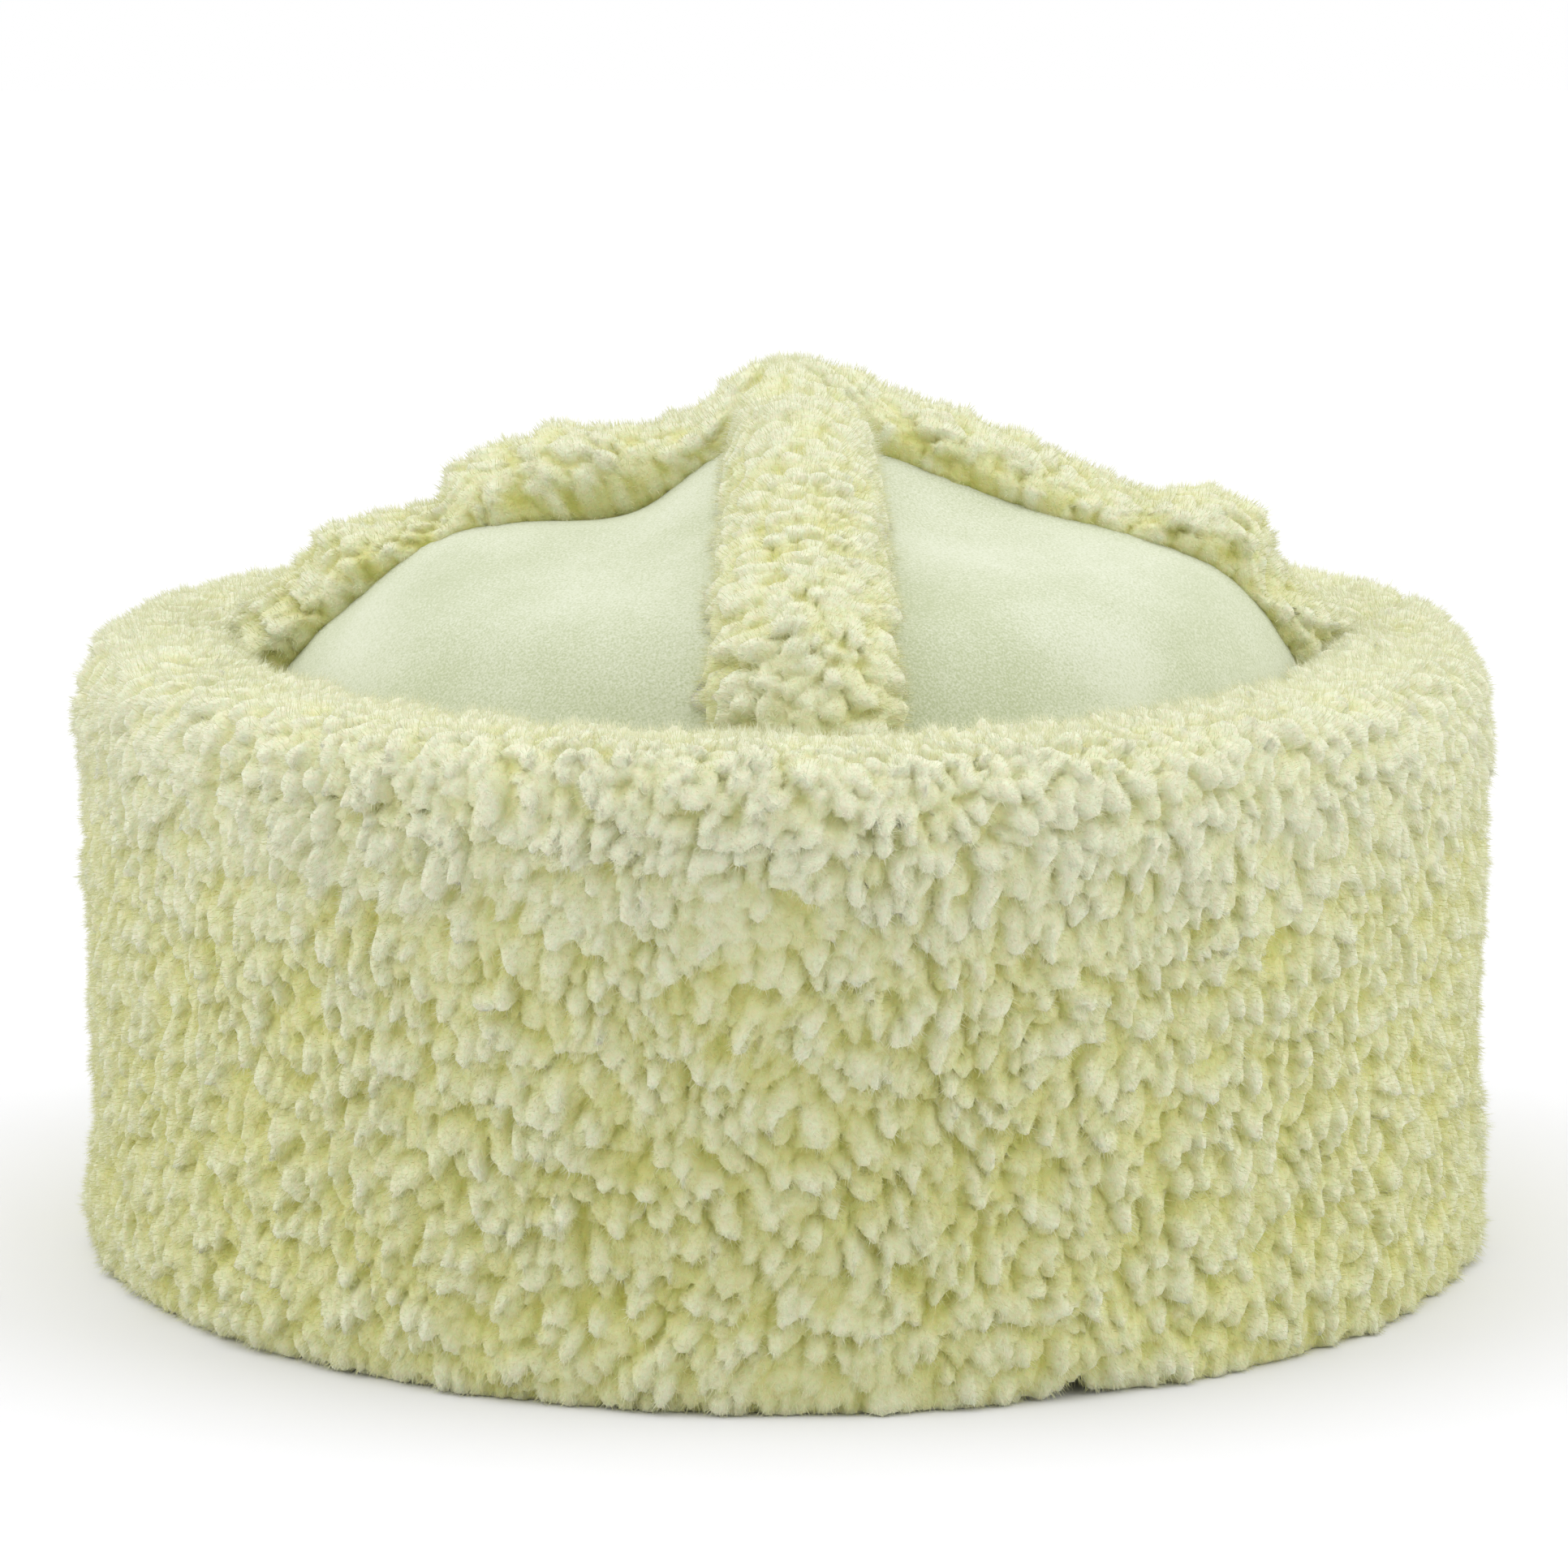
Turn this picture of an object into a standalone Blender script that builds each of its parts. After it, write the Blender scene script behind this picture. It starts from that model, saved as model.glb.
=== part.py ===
"""A shearling hat: four suede crown gores, a wool trim along each seam, and a deep wool band.

Metres, +Z up. The origin is the middle of the hem on the table, and the front of the hat faces -Y.
Left and right are as seen from the front. Azimuths are degrees from +X, counter-clockwise from above.
"""

import math
import random
from collections import namedtuple

import bpy
from mathutils import Vector

# Head opening and suede
OPENING_WIDTH = 0.181
PLAN_RATIO = 1.03
SUEDE_THICKNESS = 0.0025
SEAM_GAP = 0.0003
SEAT_GAP = 0.0003
TRIM_SEAT_GAP = 0.0008

# Band
BAND_HEIGHT = 0.1105
BAND_THICKNESS = 0.0325

# Crown
SHOULDER_BELOW_BAND = 0.0100
CROWN_RISE = 0.046
TIP_RADIUS = 0.0015
GORE_PITCH = 0.0071
GORE_COLUMNS = 8

# Seam trims
TRIM_WIDTH_AT_PEAK = 0.029
TRIM_WIDTH_AT_BAND = 0.033
TRIM_PILE = 0.0130
TRIM_PITCH = 0.0056
TRIM_COLUMNS = 8
TRIM_EDGE_SHARE = 0.30
TRIM_REACH_SHARE = 0.55

# Wool locks
LOCK_PITCH = 0.0071
LOCK_DEPTH = 0.0027
LOCK_SINK_SHARE = 0.30
LOCK_LEAN = 0.0020
LOCK_JITTER = 0.0011
LOCK_SEED = 7
TRIM_LOCK_SHARE = 0.75

SUEDE_COLOUR = (0.72, 0.83, 0.56)
SUEDE_ROUGHNESS = 0.9
WOOL_COLOUR = (0.80, 0.81, 0.58)
WOOL_ROUGHNESS = 1.0

# Crown profile from the peak to the shoulder. Radius is a share of the crown's, height a share of
# the rise, and flatness is how far the middle of a gore lies inside the circle through its seams.
CROWN_SECTIONS = (
    # radius, height, flatness
    (0.000, 1.000, 0.00),
    (0.090, 0.970, 0.05),
    (0.180, 0.925, 0.07),
    (0.262, 0.878, 0.08),
    (0.350, 0.811, 0.09),
    (0.440, 0.741, 0.09),
    (0.520, 0.685, 0.08),
    (0.610, 0.632, 0.07),
    (0.690, 0.585, 0.06),
    (0.775, 0.525, 0.05),
    (0.840, 0.457, 0.04),
    (0.885, 0.378, 0.03),
    (0.925, 0.290, 0.03),
    (0.955, 0.190, 0.02),
    (0.985, 0.065, 0.01),
    (1.000, -0.150, 0.00),
    (1.000, -0.400, 0.00),
)

# Dents of the soft crown. Radius is a share of the crown's, depth a share of its rise, and the
# spreads are in degrees and in shares of the radius.
CROWN_DENTS = (
    # azimuth, radius, depth, azimuth spread, radius spread
    (180.0, 0.34, 0.180, 48.0, 0.16),
    (180.0, 0.87, 0.110, 36.0, 0.13),
    (232.0, 0.62, 0.040, 20.0, 0.18),
    (318.0, 0.50, 0.030, 22.0, 0.18),
    (128.0, 0.55, 0.060, 24.0, 0.20),
    (48.0, 0.66, 0.045, 20.0, 0.18),
)

# Outline of the band from its inner edge beside the crown, over the top and down to the hem.
# Out is a share of the band's thickness from its inner face, and up a share of its height.
BAND_SECTIONS = (
    # out, up
    (0.000, 0.925),
    (0.045, 0.962),
    (0.150, 0.988),
    (0.350, 0.998),
    (0.600, 1.000),
    (0.800, 0.988),
    (0.930, 0.950),
    (0.990, 0.895),
    (1.000, 0.820),
    (0.980, 0.720),
    (0.965, 0.570),
    (0.950, 0.400),
    (0.955, 0.220),
    (0.985, 0.100),
    (0.985, 0.030),
    (0.950, 0.000),
)

# Slow waves in the band's outline. Up and out are shares of its height and thickness.
BAND_WAVES = (
    # waves around, phase, up, out
    (2, 40.0, 0.005, 0.015),
    (3, 160.0, 0.007, 0.014),
    (5, 250.0, 0.005, 0.012),
    (7, 20.0, 0.004, 0.010),
)

# Pile of the seam trims along their way from the peak to the band. Way is a share of the trim's
# length, each side's pile a share of the trims' pile, and lean tips the pile outwards in degrees.
TRIM_SECTIONS = (
    # way, right, back, left, front, lean
    (0.00, 0.86, 0.86, 0.86, 0.86, 0.0),
    (0.13, 0.92, 0.88, 0.66, 0.88, 6.0),
    (0.25, 0.78, 0.88, 0.80, 0.88, 12.0),
    (0.36, 0.70, 0.90, 1.12, 0.88, 16.0),
    (0.50, 0.60, 0.86, 0.95, 0.86, 20.0),
    (0.62, 0.62, 0.84, 0.68, 0.84, 28.0),
    (0.74, 0.84, 0.90, 0.76, 0.92, 36.0),
    (0.84, 0.86, 0.94, 0.84, 0.92, 36.0),
    (0.91, 0.86, 0.82, 0.84, 0.75, 28.0),
    (0.96, 0.36, 0.38, 0.38, 0.36, 22.0),
    (1.00, 0.15, 0.15, 0.15, 0.15, 16.0),
)

TRIMS = (
    # side, azimuth
    ("right", 0.0),
    ("back", 90.0),
    ("left", 180.0),
    ("front", 270.0),
)

GORES = (
    # side, azimuth of its first seam
    ("back_right", 0.0),
    ("back_left", 90.0),
    ("front_left", 180.0),
    ("front_right", 270.0),
)

CROWN_RADIUS = OPENING_WIDTH / 2 + SUEDE_THICKNESS
SHOULDER_HEIGHT = BAND_HEIGHT - SHOULDER_BELOW_BAND
BAND_INNER_RADIUS = CROWN_RADIUS + SEAT_GAP
QUARTER_TURN = math.pi / 2

# A place on the crown's profile, with the outward direction of the profile there
CrownPlace = namedtuple("CrownPlace", "radius height out up")


def plan(radius, azimuth, height):
    """A point at a radius and azimuth on the oval plan of the hat."""
    return Vector((radius * math.cos(azimuth), radius * PLAN_RATIO * math.sin(azimuth), height))


def smooth_curve(points, pitch):
    """Points at an even pitch along a smooth curve through the given ones."""
    dense = []
    steps = 12
    for i in range(len(points) - 1):
        before = points[max(i - 1, 0)]
        start, end = points[i], points[i + 1]
        after = points[min(i + 2, len(points) - 1)]
        for k in range(steps):
            t = k / steps
            bend = 2 * before - 5 * start + 4 * end - after
            twist = 3 * start - before - 3 * end + after
            dense.append(start + 0.5 * ((end - before) * t + bend * t**2 + twist * t**3))
    dense.append(points[-1])
    lengths = [0.0]
    for a, b in zip(dense, dense[1:]):
        lengths.append(lengths[-1] + (b - a).length)
    count = max(2, round(lengths[-1] / pitch))
    even = []
    at = 0
    for k in range(count + 1):
        wanted = lengths[-1] * k / count
        while at < len(dense) - 2 and lengths[at + 1] < wanted:
            at += 1
        span = lengths[at + 1] - lengths[at]
        even.append(dense[at].lerp(dense[at + 1], min(1.0, (wanted - lengths[at]) / span)))
    return even


def between(table, column, at):
    """A table's column at a place between its rows, which are in order of their first column."""
    for low, high in zip(table, table[1:]):
        if at <= high[0]:
            share = (at - low[0]) / (high[0] - low[0])
            eased = share * share * (3 - 2 * share)
            return low[column] + (high[column] - low[column]) * eased
    return table[-1][column]


def crown_places(pitch):
    """Places at an even pitch along the crown's profile, from the peak to below the shoulder."""
    corners = [Vector((radius * CROWN_RADIUS, height * CROWN_RISE)) for radius, height, _ in CROWN_SECTIONS]
    line = smooth_curve(corners, pitch)
    places = []
    for i, point in enumerate(line):
        way = (line[min(i + 1, len(line) - 1)] - line[max(i - 1, 0)]).normalized()
        places.append(CrownPlace(point.x / CROWN_RADIUS, point.y / CROWN_RISE, -way.y, way.x))
    return places


def dent(azimuth, radius_share):
    """How deep the crown is dented at a place, in metres."""
    depth = 0.0
    for at_azimuth, at_radius, share, azimuth_spread, radius_spread in CROWN_DENTS:
        turn = (math.degrees(azimuth) - at_azimuth + 180) % 360 - 180
        away = (turn / azimuth_spread) ** 2 + ((radius_share - at_radius) / radius_spread) ** 2
        depth += share * CROWN_RISE * math.exp(-away)
    return depth


def crown_point(place, azimuth, inwards=0.0):
    """A point of the crown, moved inwards by a distance along the profile's own normal."""
    flatness = between(CROWN_SECTIONS, 2, place.radius) * abs(math.sin(2 * azimuth))
    inwards += dent(azimuth, place.radius)
    radius = place.radius * CROWN_RADIUS * (1 - flatness) - inwards * place.out
    height = SHOULDER_HEIGHT + place.height * CROWN_RISE - inwards * place.up
    return plan(max(radius, TIP_RADIUS), azimuth, height)


def band_line():
    """Radius and height along the band's outline, at an even pitch from its inner edge to the hem."""
    corners = [
        Vector((BAND_INNER_RADIUS + out * BAND_THICKNESS, up * BAND_HEIGHT)) for out, up in BAND_SECTIONS
    ]
    return smooth_curve(corners, LOCK_PITCH)


def band_waved(point, azimuth):
    """Radius and height of the band's outline at an azimuth, with the slow waves of a soft band."""
    out = (point.x - BAND_INNER_RADIUS) / BAND_THICKNESS
    up = point.y / BAND_HEIGHT
    radius, height = point
    for waves, phase, up_share, out_share in BAND_WAVES:
        swing = math.sin(waves * azimuth + math.radians(phase))
        radius += swing * out_share * BAND_THICKNESS * out * up
        height += swing * up_share * BAND_HEIGHT * out * up
    return radius, height


def is_lock(row, column):
    """Whether a grid point is a lock's tip. The others are the valleys round it."""
    return (row + column) % 2 == 0


def lock_tip(chance, point, out, along, share=1.0):
    """The tip of a lock, sunk a little by chance and drawn along the lie of the wool."""
    side = out.cross(along)
    sink = chance.random() * LOCK_DEPTH * LOCK_SINK_SHARE
    lean = LOCK_LEAN + (chance.random() - 0.5) * LOCK_JITTER
    drift = (chance.random() - 0.5) * 2 * LOCK_JITTER
    return point + share * (along * lean + side * drift - out * sink)


def grid_triangles(rows, columns, closed, woolly):
    """Triangles of a grid of points. On wool each cut joins two valleys, so a lock is a pyramid."""
    faces = []
    for i in range(rows if closed else rows - 1):
        for j in range(columns if closed else columns - 1):
            a = i * columns + j
            b = i * columns + (j + 1) % columns
            c = (i + 1) % rows * columns + (j + 1) % columns
            d = (i + 1) % rows * columns + j
            if woolly and is_lock(i, j):
                faces += [(a, b, d), (b, c, d)]
            else:
                faces += [(a, b, c), (a, c, d)]
    return faces


def add_object(name, points, faces, colour, roughness):
    """A named object with its own material, from points and faces that point outwards."""
    mesh = bpy.data.meshes.new(name)
    mesh.from_pydata(points, [], faces)
    mesh.update()
    material = bpy.data.materials.new(name)
    material.use_nodes = True
    shader = material.node_tree.nodes["Principled BSDF"]
    shader.inputs["Base Color"].default_value = (*colour, 1.0)
    shader.inputs["Roughness"].default_value = roughness
    shader.inputs["Metallic"].default_value = 0.0
    mesh.materials.append(material)
    made = bpy.data.objects.new(name, mesh)
    bpy.context.scene.collection.objects.link(made)


def add_shell(name, outside, inside, colour, roughness, woolly):
    """A solid between two grids of points, outside and inside, joined round their edges."""
    rows = len(outside)
    columns = len(outside[0])
    inner = rows * columns
    grid = grid_triangles(rows, columns, False, woolly)
    faces = grid + [(c + inner, b + inner, a + inner) for a, b, c in grid]
    edge = list(range(columns))
    edge += [i * columns + columns - 1 for i in range(1, rows)]
    edge += [(rows - 1) * columns + j for j in range(columns - 2, -1, -1)]
    edge += [i * columns for i in range(rows - 2, 0, -1)]
    for a, b in zip(edge, edge[1:] + edge[:1]):
        faces += [(b, a, a + inner), (b, a + inner, b + inner)]
    points = [point for line in outside + inside for point in line]
    add_object(name, points, faces, colour, roughness)


def add_gore(side, first_seam):
    """One suede gore from the peak to the hem, a quarter of the crown and of its wall."""
    places = crown_places(GORE_PITCH)
    rows = [(place, 1.0) for place in places] + [(places[-1], 0.5), (places[-1], 0.0)]
    outside = []
    inside = []
    for place, height_share in rows:
        margin = math.asin(SEAM_GAP / max(place.radius * CROWN_RADIUS, TIP_RADIUS))
        line_out = []
        line_in = []
        for column in range(GORE_COLUMNS, -1, -1):
            turn = QUARTER_TURN * column / GORE_COLUMNS
            azimuth = math.radians(first_seam) + min(max(turn, margin), QUARTER_TURN - margin)
            outer = crown_point(place, azimuth)
            inner = crown_point(place, azimuth, SUEDE_THICKNESS)
            outer.z *= height_share
            inner.z *= height_share
            line_out.append(outer)
            line_in.append(inner)
        outside.append(line_out)
        inside.append(line_in)
    add_shell(f"crown_gore_{side}", outside, inside, SUEDE_COLOUR, SUEDE_ROUGHNESS, False)


def trim_way():
    """The places that a trim covers: down the crown to the band's inner edge, then over its top."""
    reach = BAND_INNER_RADIUS + TRIM_REACH_SHARE * BAND_THICKNESS
    over_band = smooth_curve([point for point in band_line() if point.x < reach], TRIM_PITCH)
    join_height = over_band[0].y + TRIM_PITCH / 2
    on_crown = [
        place
        for place in crown_places(TRIM_PITCH)
        if SHOULDER_HEIGHT + place.height * CROWN_RISE > join_height
    ]
    return on_crown, over_band


def add_trim(side, seam, pile_column):
    """One wool trim, laid over a seam from the peak to the top of the band."""
    chance = random.Random(LOCK_SEED + round(seam))
    on_crown, over_band = trim_way()
    way = on_crown + over_band
    outside = []
    inside = []
    for row, place in enumerate(way):
        share = row / (len(way) - 1)
        height = TRIM_PILE * between(TRIM_SECTIONS, pile_column, share)
        lean = math.radians(between(TRIM_SECTIONS, 5, share))
        half_width = 0.5 * (TRIM_WIDTH_AT_PEAK + (TRIM_WIDTH_AT_BAND - TRIM_WIDTH_AT_PEAK) * share)
        is_on_crown = row < len(on_crown)
        radius = max(place.radius * CROWN_RADIUS, TIP_RADIUS) if is_on_crown else place.x
        spread = min(QUARTER_TURN / 2 - math.asin(SEAM_GAP / radius), half_width / radius)
        line_out = []
        line_in = []
        for column in range(TRIM_COLUMNS, -1, -1):
            turn = spread * (2 * column / TRIM_COLUMNS - 1)
            azimuth = math.radians(seam) + turn
            if is_on_crown:
                under = crown_point(place, azimuth, -TRIM_SEAT_GAP)
            else:
                waved_radius, waved_height = band_waved(place, azimuth)
                under = plan(waved_radius, azimuth, waved_height + TRIM_SEAT_GAP)
            outwards = Vector((math.cos(azimuth), math.sin(azimuth), 0.0))
            upwards = Vector((0.0, 0.0, 1.0))
            out = outwards * math.sin(lean) + upwards * math.cos(lean)
            along = outwards * math.cos(lean) - upwards * math.sin(lean)
            across = min(1.0, radius * abs(math.sin(turn)) / half_width)
            dome = TRIM_EDGE_SHARE + (1 - TRIM_EDGE_SHARE) * math.sqrt(1 - across**2)
            top = under + out * height * dome
            is_off_edge = 0 < row < len(way) - 1 and 0 < column < TRIM_COLUMNS
            if is_off_edge and is_lock(row, column):
                top = lock_tip(chance, top, out, along, TRIM_LOCK_SHARE)
            elif is_off_edge:
                top -= out * LOCK_DEPTH * TRIM_LOCK_SHARE
            line_out.append(top)
            line_in.append(under)
        outside.append(line_out)
        inside.append(line_in)
    add_shell(f"seam_trim_{side}", outside, inside, WOOL_COLOUR, WOOL_ROUGHNESS, True)


def add_band():
    """The wool band round the crown wall, with its locks fused to it."""
    chance = random.Random(LOCK_SEED)
    line = band_line()
    girth = 2 * math.pi * (BAND_INNER_RADIUS + BAND_THICKNESS)
    columns = 2 * round(girth / LOCK_PITCH / 2)
    points = []
    for row, place in enumerate(line):
        way = (line[min(row + 1, len(line) - 1)] - line[max(row - 1, 0)]).normalized()
        for column in range(columns):
            azimuth = 2 * math.pi * column / columns
            radius, height = band_waved(place, azimuth)
            point = plan(radius, azimuth, height)
            outwards = Vector((math.cos(azimuth), math.sin(azimuth), 0.0))
            upwards = Vector((0.0, 0.0, 1.0))
            out = upwards * way.x - outwards * way.y
            along = outwards * way.x + upwards * way.y
            if 0 < row < len(line) - 1:
                if is_lock(row, column):
                    point = lock_tip(chance, point, out, along)
                else:
                    point -= out * LOCK_DEPTH
                point.z = max(point.z, LOCK_DEPTH / 2)
            points.append(point)
    for height_share in (0.0, 0.5):
        for column in range(columns):
            azimuth = 2 * math.pi * column / columns
            points.append(plan(BAND_INNER_RADIUS, azimuth, line[0].y * height_share))
    faces = [(c, b, a) for a, b, c in grid_triangles(len(line) + 2, columns, True, True)]
    add_object("band", points, faces, WOOL_COLOUR, WOOL_ROUGHNESS)


for old in list(bpy.data.objects):
    bpy.data.objects.remove(old)

for gore_side, gore_seam in GORES:
    add_gore(gore_side, gore_seam)
for number, (trim_side, trim_seam) in enumerate(TRIMS):
    add_trim(trim_side, trim_seam, 1 + number)
add_band()
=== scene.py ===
"""The looks of a shearling hat: suede crown gores, wool trims on the seams and a deep wool band.

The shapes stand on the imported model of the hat, in metres, with +Z up and the front towards -Y.
Left and right are as seen from the front.
"""

import math

import bpy
import numpy as np
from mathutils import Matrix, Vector, noise


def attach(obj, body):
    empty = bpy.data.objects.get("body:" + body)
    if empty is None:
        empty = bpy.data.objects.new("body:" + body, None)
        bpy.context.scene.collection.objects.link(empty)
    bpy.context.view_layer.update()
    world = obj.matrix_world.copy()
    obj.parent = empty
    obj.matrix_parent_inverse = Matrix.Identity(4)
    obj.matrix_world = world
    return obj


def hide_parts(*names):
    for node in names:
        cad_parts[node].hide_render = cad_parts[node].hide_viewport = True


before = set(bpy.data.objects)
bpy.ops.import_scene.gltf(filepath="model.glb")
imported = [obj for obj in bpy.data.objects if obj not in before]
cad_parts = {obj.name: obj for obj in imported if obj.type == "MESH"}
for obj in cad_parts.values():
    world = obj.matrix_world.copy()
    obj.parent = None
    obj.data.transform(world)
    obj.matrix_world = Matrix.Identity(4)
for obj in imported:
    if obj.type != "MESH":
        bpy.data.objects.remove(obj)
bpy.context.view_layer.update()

# Sizes that the hat's construction sets
OPENING_WIDTH = 0.181
PLAN_RATIO = 1.03
SUEDE_THICKNESS = 0.0025
SEAM_GAP = 0.0003
BAND_GAP = 0.0003
BAND_HEIGHT = 0.1105
BAND_THICKNESS = 0.0325
SHOULDER_BELOW_BAND = 0.0100
CROWN_RISE = 0.046
TIP_RADIUS = 0.0015
TRIM_WIDTH_AT_PEAK = 0.029
TRIM_WIDTH_AT_BAND = 0.033
TRIM_PILE = 0.0130
TRIM_LENGTH = 0.123
TRIM_END_SHARE = 0.992

CROWN_RADIUS = OPENING_WIDTH / 2 + SUEDE_THICKNESS
SHOULDER_HEIGHT = BAND_HEIGHT - SHOULDER_BELOW_BAND
BAND_INNER_RADIUS = CROWN_RADIUS + BAND_GAP
QUARTER_TURN = math.pi / 2
UP = Vector((0.0, 0.0, 1.0))

# Wool
BAND_ROOT_DEPTH = 0.0034
TRIM_ROOT_DEPTH = 0.0024
TRIM_SIDE_WOOL = 0.003
TRIM_SINK = 0.0008
SKIN_PITCH = 0.0020
LOCK_WIDTH = 0.0031
LOCK_STRETCH = 0.80
LOCK_UNEVENNESS = 0.70
SHORTEST_LOCK = 0.60
CLUMP_WIDTH = 0.0082
LOCK_RISE = 0.0030
CLUMP_RISE = 0.0008
KNOB_RISE = 0.0018
DRIFT_SIZE = 0.024
DRIFT_REACH = 0.0024
PUSH_SIZE = 0.015
PUSH_REACH = 0.0014
WARP_SCALE = 260.0
WARP_REACH = 0.0032
KNOB_SCALE = 620.0
DOME_BLEND = 0.16
DOME_STEEPNESS = 1.7
DOME_POWER = 0.58
TIP_OVERHANG = 0.28
FLOOR_CLEARANCE = 0.0002
FIBRE_LENGTH = 0.0019
FIBRE_WIDTH = 0.00011
FIBRES_PER_SQUARE_METRE = 5.8e6
FIBRE_SIZES = (0.5, 1.2)
FIBRE_TONES = (-0.8, 1.6)
FIBRE_STRAY = 0.8
FIBRE_SPIN = 0.7
BAND_SECTORS = ("right_back", "back", "left_back", "left_front", "front", "right_front")
BAND_COLUMNS = 522

# Crown profile from the peak to the shoulder. Radius is a share of the crown's, height a share of
# the rise, and flatness is how far the middle of a gore lies inside the circle through its seams.
CROWN_SECTIONS = (
    # radius, height, flatness
    (0.000, 1.000, 0.00),
    (0.090, 0.970, 0.05),
    (0.180, 0.925, 0.07),
    (0.262, 0.878, 0.08),
    (0.350, 0.811, 0.09),
    (0.440, 0.741, 0.09),
    (0.520, 0.685, 0.08),
    (0.610, 0.632, 0.07),
    (0.690, 0.585, 0.06),
    (0.775, 0.525, 0.05),
    (0.840, 0.457, 0.04),
    (0.885, 0.378, 0.03),
    (0.925, 0.290, 0.03),
    (0.955, 0.190, 0.02),
    (0.985, 0.065, 0.01),
    (1.000, -0.150, 0.00),
    (1.000, -0.400, 0.00),
)

# Dents of the soft crown. Radius is a share of the crown's, depth a share of its rise, and the
# spreads are in degrees and in shares of the radius.
CROWN_DENTS = (
    # azimuth, radius, depth, azimuth spread, radius spread
    (180.0, 0.34, 0.180, 48.0, 0.16),
    (180.0, 0.87, 0.110, 36.0, 0.13),
    (232.0, 0.62, 0.040, 20.0, 0.18),
    (318.0, 0.50, 0.030, 22.0, 0.18),
    (128.0, 0.55, 0.060, 24.0, 0.20),
    (48.0, 0.66, 0.045, 20.0, 0.18),
)

# Outline of the band from its inner edge beside the crown, over the top and down to the hem.
# Out is a share of the band's thickness from its inner face, and up a share of its height.
BAND_SECTIONS = (
    # out, up
    (0.000, 0.925),
    (0.045, 0.962),
    (0.150, 0.988),
    (0.350, 0.998),
    (0.600, 1.000),
    (0.800, 0.984),
    (0.920, 0.946),
    (0.980, 0.888),
    (1.000, 0.820),
    (0.980, 0.720),
    (0.965, 0.570),
    (0.950, 0.400),
    (0.955, 0.220),
    (0.985, 0.100),
    (0.985, 0.030),
    (0.950, 0.000),
)

# Slow waves in the band's outline. Up and out are shares of its height and thickness.
BAND_WAVES = (
    # waves around, phase, up, out
    (2, 40.0, 0.005, 0.015),
    (3, 160.0, 0.007, 0.014),
    (5, 250.0, 0.005, 0.012),
    (7, 20.0, 0.004, 0.010),
    (2, -90.0, 0.007, 0.000),
    (1, -90.0, 0.004, 0.000),
)

# The band's underside and inner wall, where no wool stands, as shares like its outline's.
BAND_HIDDEN = (
    # out, up
    (0.500, 0.004),
    (0.020, 0.004),
    (0.000, 0.030),
    (0.000, 0.900),
)

# Where the hem stands a little off the floor.
HEM_LIFTS = (
    # azimuth, spread in degrees, lift
    (228.0, 24.0, 0.0028),
    (293.0, 6.5, 0.0046),
)

# How the wool of the band lies, along its outline from the inner edge to the hem. Way is a share of
# the outline, fall turns the wool down the outline (1) or back to the crown (-1), lean is degrees
# from upright, length is a share of a lock's, painted light is how much light is painted into the
# wool's colour (lighter on the roll and fringe at the top, darker down the band's side), and root is
# how deep it is rooted, as a share of the band's root depth.
BAND_WOOL = (
    # way, fall, lean, length, painted light, root
    (0.00, -1.0, 44.0, 1.00, 1.10, 0.80),
    (0.06, -0.8, 34.0, 0.90, 1.20, 0.95),
    (0.12, -0.3, 22.0, 0.80, 1.25, 1.15),
    (0.18, 0.5, 22.0, 0.82, 1.25, 1.15),
    (0.24, 1.0, 28.0, 0.92, 1.25, 1.20),
    (0.30, 1.0, 36.0, 1.12, 1.15, 1.40),
    (0.38, 1.0, 38.0, 1.10, 0.80, 1.50),
    (0.50, 1.0, 32.0, 1.00, 0.22, 1.40),
    (0.75, 1.0, 30.0, 1.00, 0.00, 1.40),
    (0.92, 1.0, 36.0, 0.95, 0.05, 1.30),
    (1.00, 1.0, 50.0, 0.85, 0.10, 1.20),
)

# Pile of the seam trims along their way from the peak to the top of the band. Way is a share of the
# trims' length, each side's pile a share of their pile, and lean is in degrees from upright.
TRIM_SECTIONS = (
    # way, right, back, left, front, lean
    (0.00, 0.90, 0.90, 0.90, 0.90, 0.0),
    (0.05, 0.92, 0.90, 0.90, 0.90, 2.0),
    (0.10, 0.90, 0.88, 0.70, 0.89, 4.5),
    (0.14, 0.80, 0.87, 0.66, 0.88, 6.5),
    (0.18, 0.74, 0.86, 0.80, 0.88, 8.5),
    (0.25, 0.76, 0.88, 1.16, 0.88, 12.0),
    (0.32, 0.74, 0.88, 1.38, 0.88, 15.0),
    (0.39, 0.66, 0.88, 1.12, 0.88, 17.0),
    (0.45, 0.58, 0.87, 0.86, 0.86, 19.0),
    (0.52, 0.44, 0.85, 0.34, 0.85, 22.0),
    (0.58, 0.76, 0.84, 0.48, 0.84, 26.0),
    (0.66, 0.85, 0.86, 0.90, 0.88, 31.0),
    (0.74, 0.36, 0.90, 0.74, 0.92, 35.0),
    (0.84, 0.66, 0.92, 0.82, 0.84, 36.0),
    (1.00, 0.80, 0.80, 0.80, 0.70, 30.0),
)

TRIMS = (
    # side, azimuth, how much shade is painted along its edge (its wool there is shorter too), how far it
    # lies to one side of its seam
    ("right", 0.0, 1.0, 0.0),
    ("back", 90.0, 0.3, 0.0),
    ("left", 180.0, 1.0, 0.0),
    ("front", 270.0, 0.1, 0.0032),
)

GORES = (
    # side, azimuth of its first seam
    ("back_right", 0.0),
    ("back_left", 90.0),
    ("front_left", 180.0),
    ("front_right", 270.0),
)
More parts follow.
